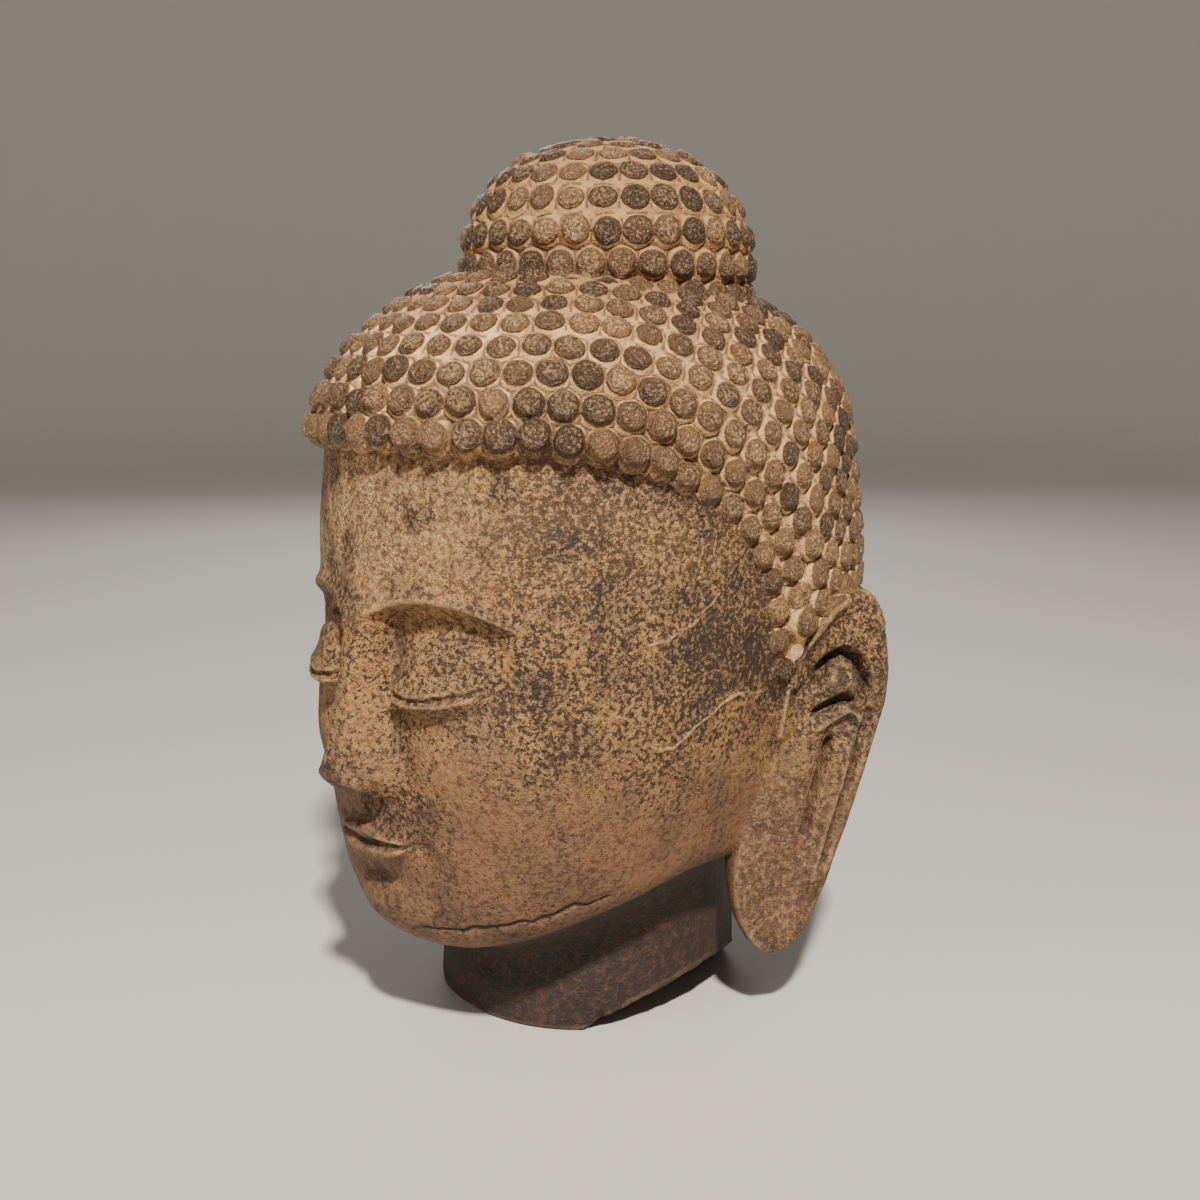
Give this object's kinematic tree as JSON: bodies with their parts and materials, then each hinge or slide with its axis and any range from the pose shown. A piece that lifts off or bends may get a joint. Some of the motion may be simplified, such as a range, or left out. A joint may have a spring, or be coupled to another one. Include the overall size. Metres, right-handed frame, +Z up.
{
  "type": "stone buddha head",
  "caption": "Carved stone buddha head with studded hair, domed top knot, long ears and a short neck stump that it stands on.",
  "frame": {"origin": "under the middle of the head's box, on the level of the neck stump's flat underside", "axes": "+Z up through the top knot, the face looks along -Y, the head's own left ear is on +X"},
  "size_m": [0.2904, 0.3194, 0.4485],
  "materials": {
    "stone": "dark close-grained stone, carved and rubbed, with a waxy ochre and brown earth patina that is lighter in the hollows and worn dark on the high places"
  },
  "bodies": {
    "root": {"buddha_head": "stone"}
  },
  "joints": []
}
